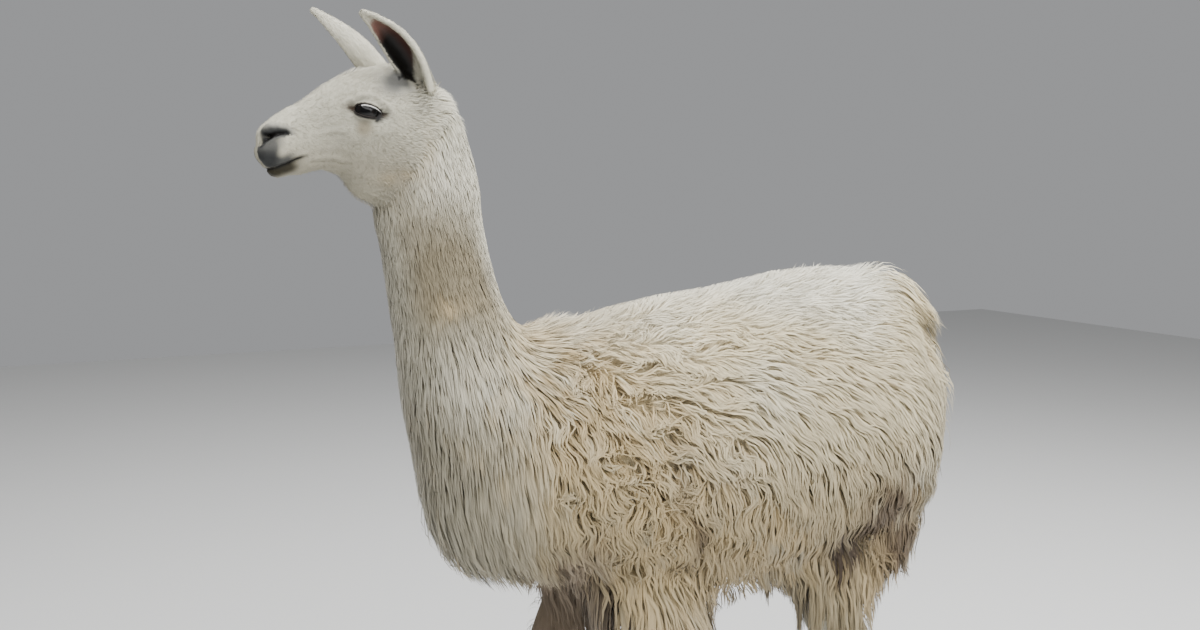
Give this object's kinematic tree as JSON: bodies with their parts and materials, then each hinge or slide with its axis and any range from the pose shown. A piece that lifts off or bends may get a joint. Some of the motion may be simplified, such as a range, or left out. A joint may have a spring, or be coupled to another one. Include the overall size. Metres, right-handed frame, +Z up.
{
  "type": "llama",
  "caption": "Standing llama in full coat: long upright neck, pointed head with banana-shaped ears, shaggy barrel trunk, short tail and slim two-toed legs; a still life-size model.",
  "frame": {"origin": "on the floor, under the middle of the animal's bounding box", "axes": "+Z up, the head faces -Y, the animal's left side is +X"},
  "size_m": [0.501, 1.3566, 1.6568],
  "materials": {
    "wool": "long wavy cream-white wool",
    "face": "short flat white fur",
    "muzzle": "bare grey nose and upper lip, slightly moist",
    "ear": "short white fur outside, bare dusky skin inside",
    "leg": "short cream fur, soiled",
    "nail": "dark horn",
    "eye": "wet, near-black"
  },
  "bodies": {
    "root": {"ear_left": "ear", "ear_right": "ear", "eye_left": "eye", "eye_right": "eye", "foot_front_left": "leg", "foot_front_right": "leg", "foot_hind_left": "leg", "foot_hind_right": "leg", "head": "face", "leg_front_left_lower": "leg", "leg_front_left_upper": "leg", "leg_front_right_lower": "leg", "leg_front_right_upper": "leg", "leg_hind_left_lower": "leg", "leg_hind_left_upper": "leg", "leg_hind_right_lower": "leg", "leg_hind_right_upper": "leg", "lower_jaw": "face", "muzzle": "muzzle", "neck": "wool", "tail": "wool", "toenail_front_left_inner": "nail", "toenail_front_left_outer": "nail", "toenail_front_right_inner": "nail", "toenail_front_right_outer": "nail", "toenail_hind_left_inner": "nail", "toenail_hind_left_outer": "nail", "toenail_hind_right_inner": "nail", "toenail_hind_right_outer": "nail", "trunk": "wool"}
  },
  "joints": []
}
